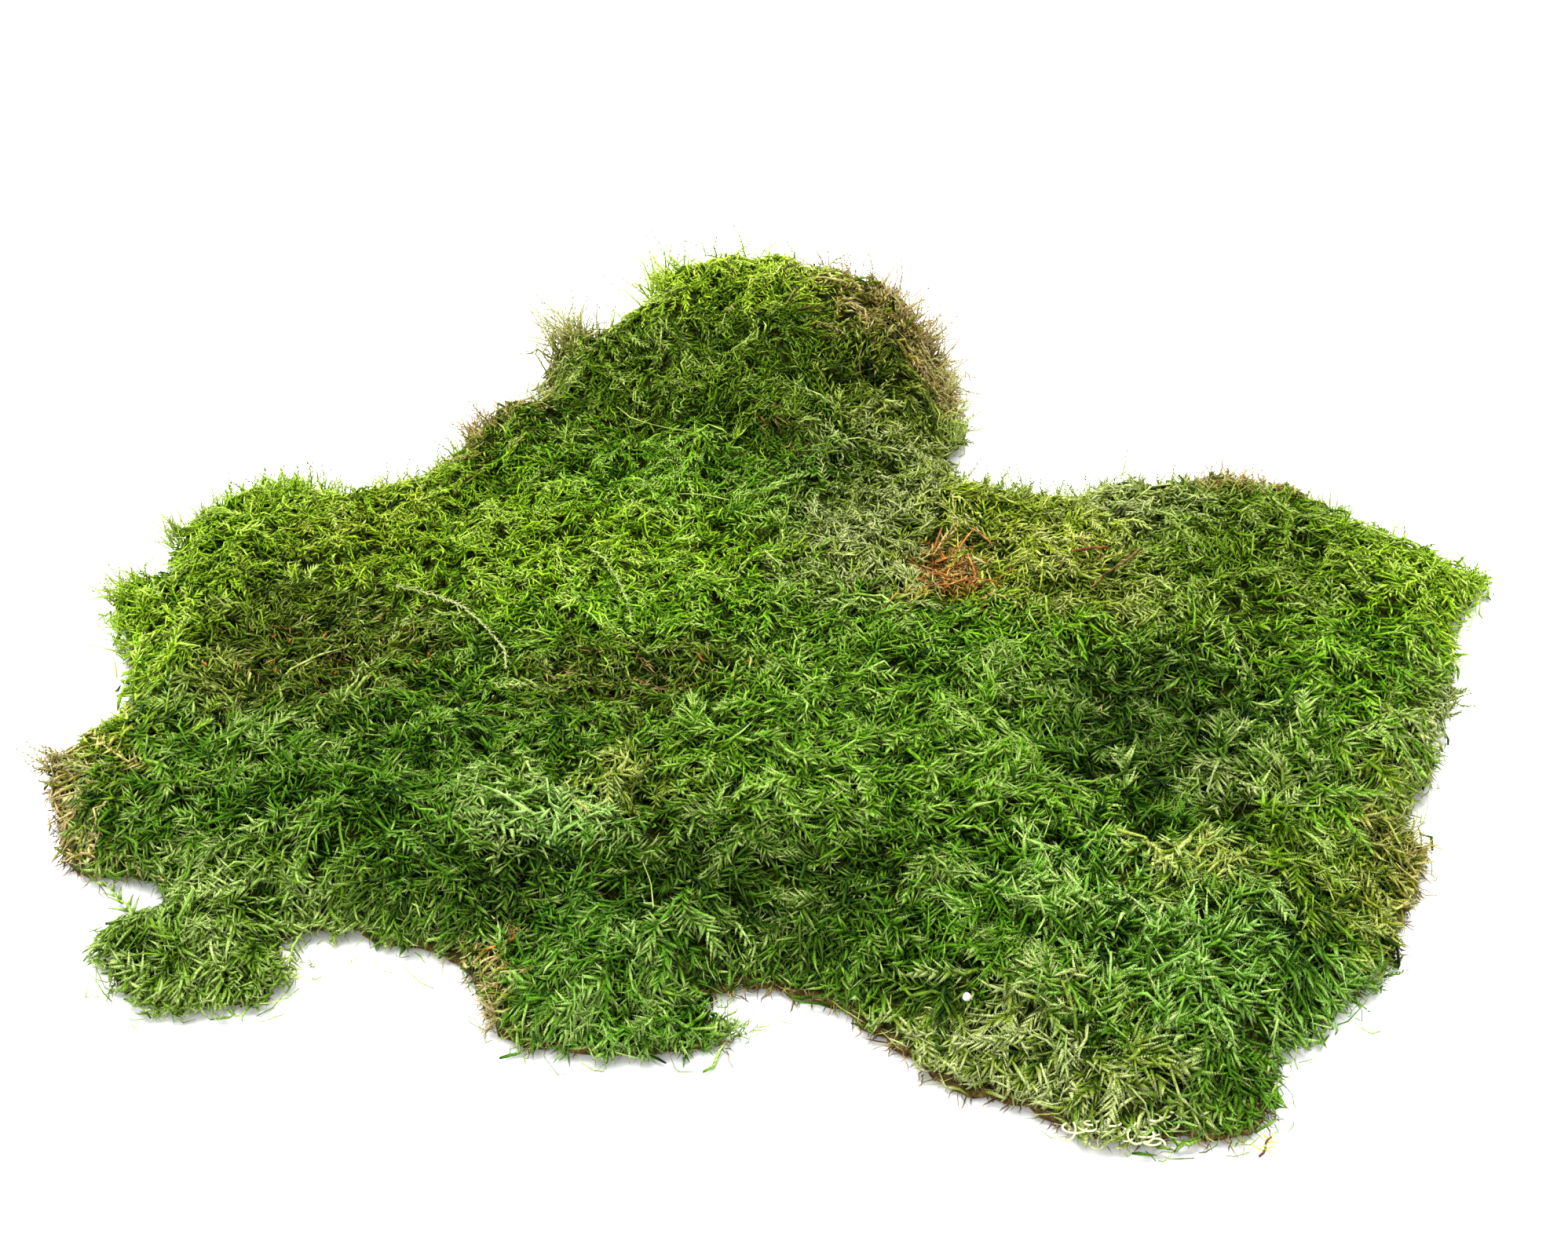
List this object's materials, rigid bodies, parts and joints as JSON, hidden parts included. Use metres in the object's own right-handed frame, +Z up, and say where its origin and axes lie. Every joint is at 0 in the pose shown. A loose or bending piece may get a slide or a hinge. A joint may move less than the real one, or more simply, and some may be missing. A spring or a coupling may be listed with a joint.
{
  "type": "moss clump",
  "caption": "Flat irregular mat of feather moss with ragged edges and a raised hill at the back, on a thin cut humus layer.",
  "frame": {"origin": "on the ground under the middle of the mat, on its flat cut underside", "axes": "+X along the mat, to the right as seen from its front; +Y to its back, where the hill is; +Z up"},
  "size_m": [0.4783, 0.3937, 0.0586],
  "materials": {
    "living_moss": "soft, matt to slightly moist fronds, yellow-green to blue-green",
    "humus": "matt, crumbly dead stems and soil",
    "bark": "dry bark",
    "red_bark": "dry reddish bark",
    "pale_moss": "pale feathery shoot",
    "pale_shell": "smooth, white",
    "seedling_green": "thin leaves on a red stem",
    "dry_needle": "dry, slightly glossy",
    "dry_grass": "dry strand"
  },
  "bodies": {
    "root": {"brown_twig": "bark", "corner_seedling": "seedling_green", "grass_strand_01": "dry_grass", "grass_strand_02": "dry_grass", "grass_strand_03": "dry_grass", "grass_strand_04": "dry_grass", "grass_strand_05": "dry_grass", "humus_base": "humus", "moss_carpet": "living_moss", "needle_01": "dry_needle", "needle_02": "dry_needle", "needle_03": "dry_needle", "needle_04": "dry_needle", "needle_05": "dry_needle", "needle_06": "dry_needle", "needle_07": "dry_needle", "needle_08": "dry_needle", "needle_09": "dry_needle", "pale_runner": "pale_moss", "red_stick": "red_bark", "white_grain": "pale_shell"}
  },
  "joints": []
}
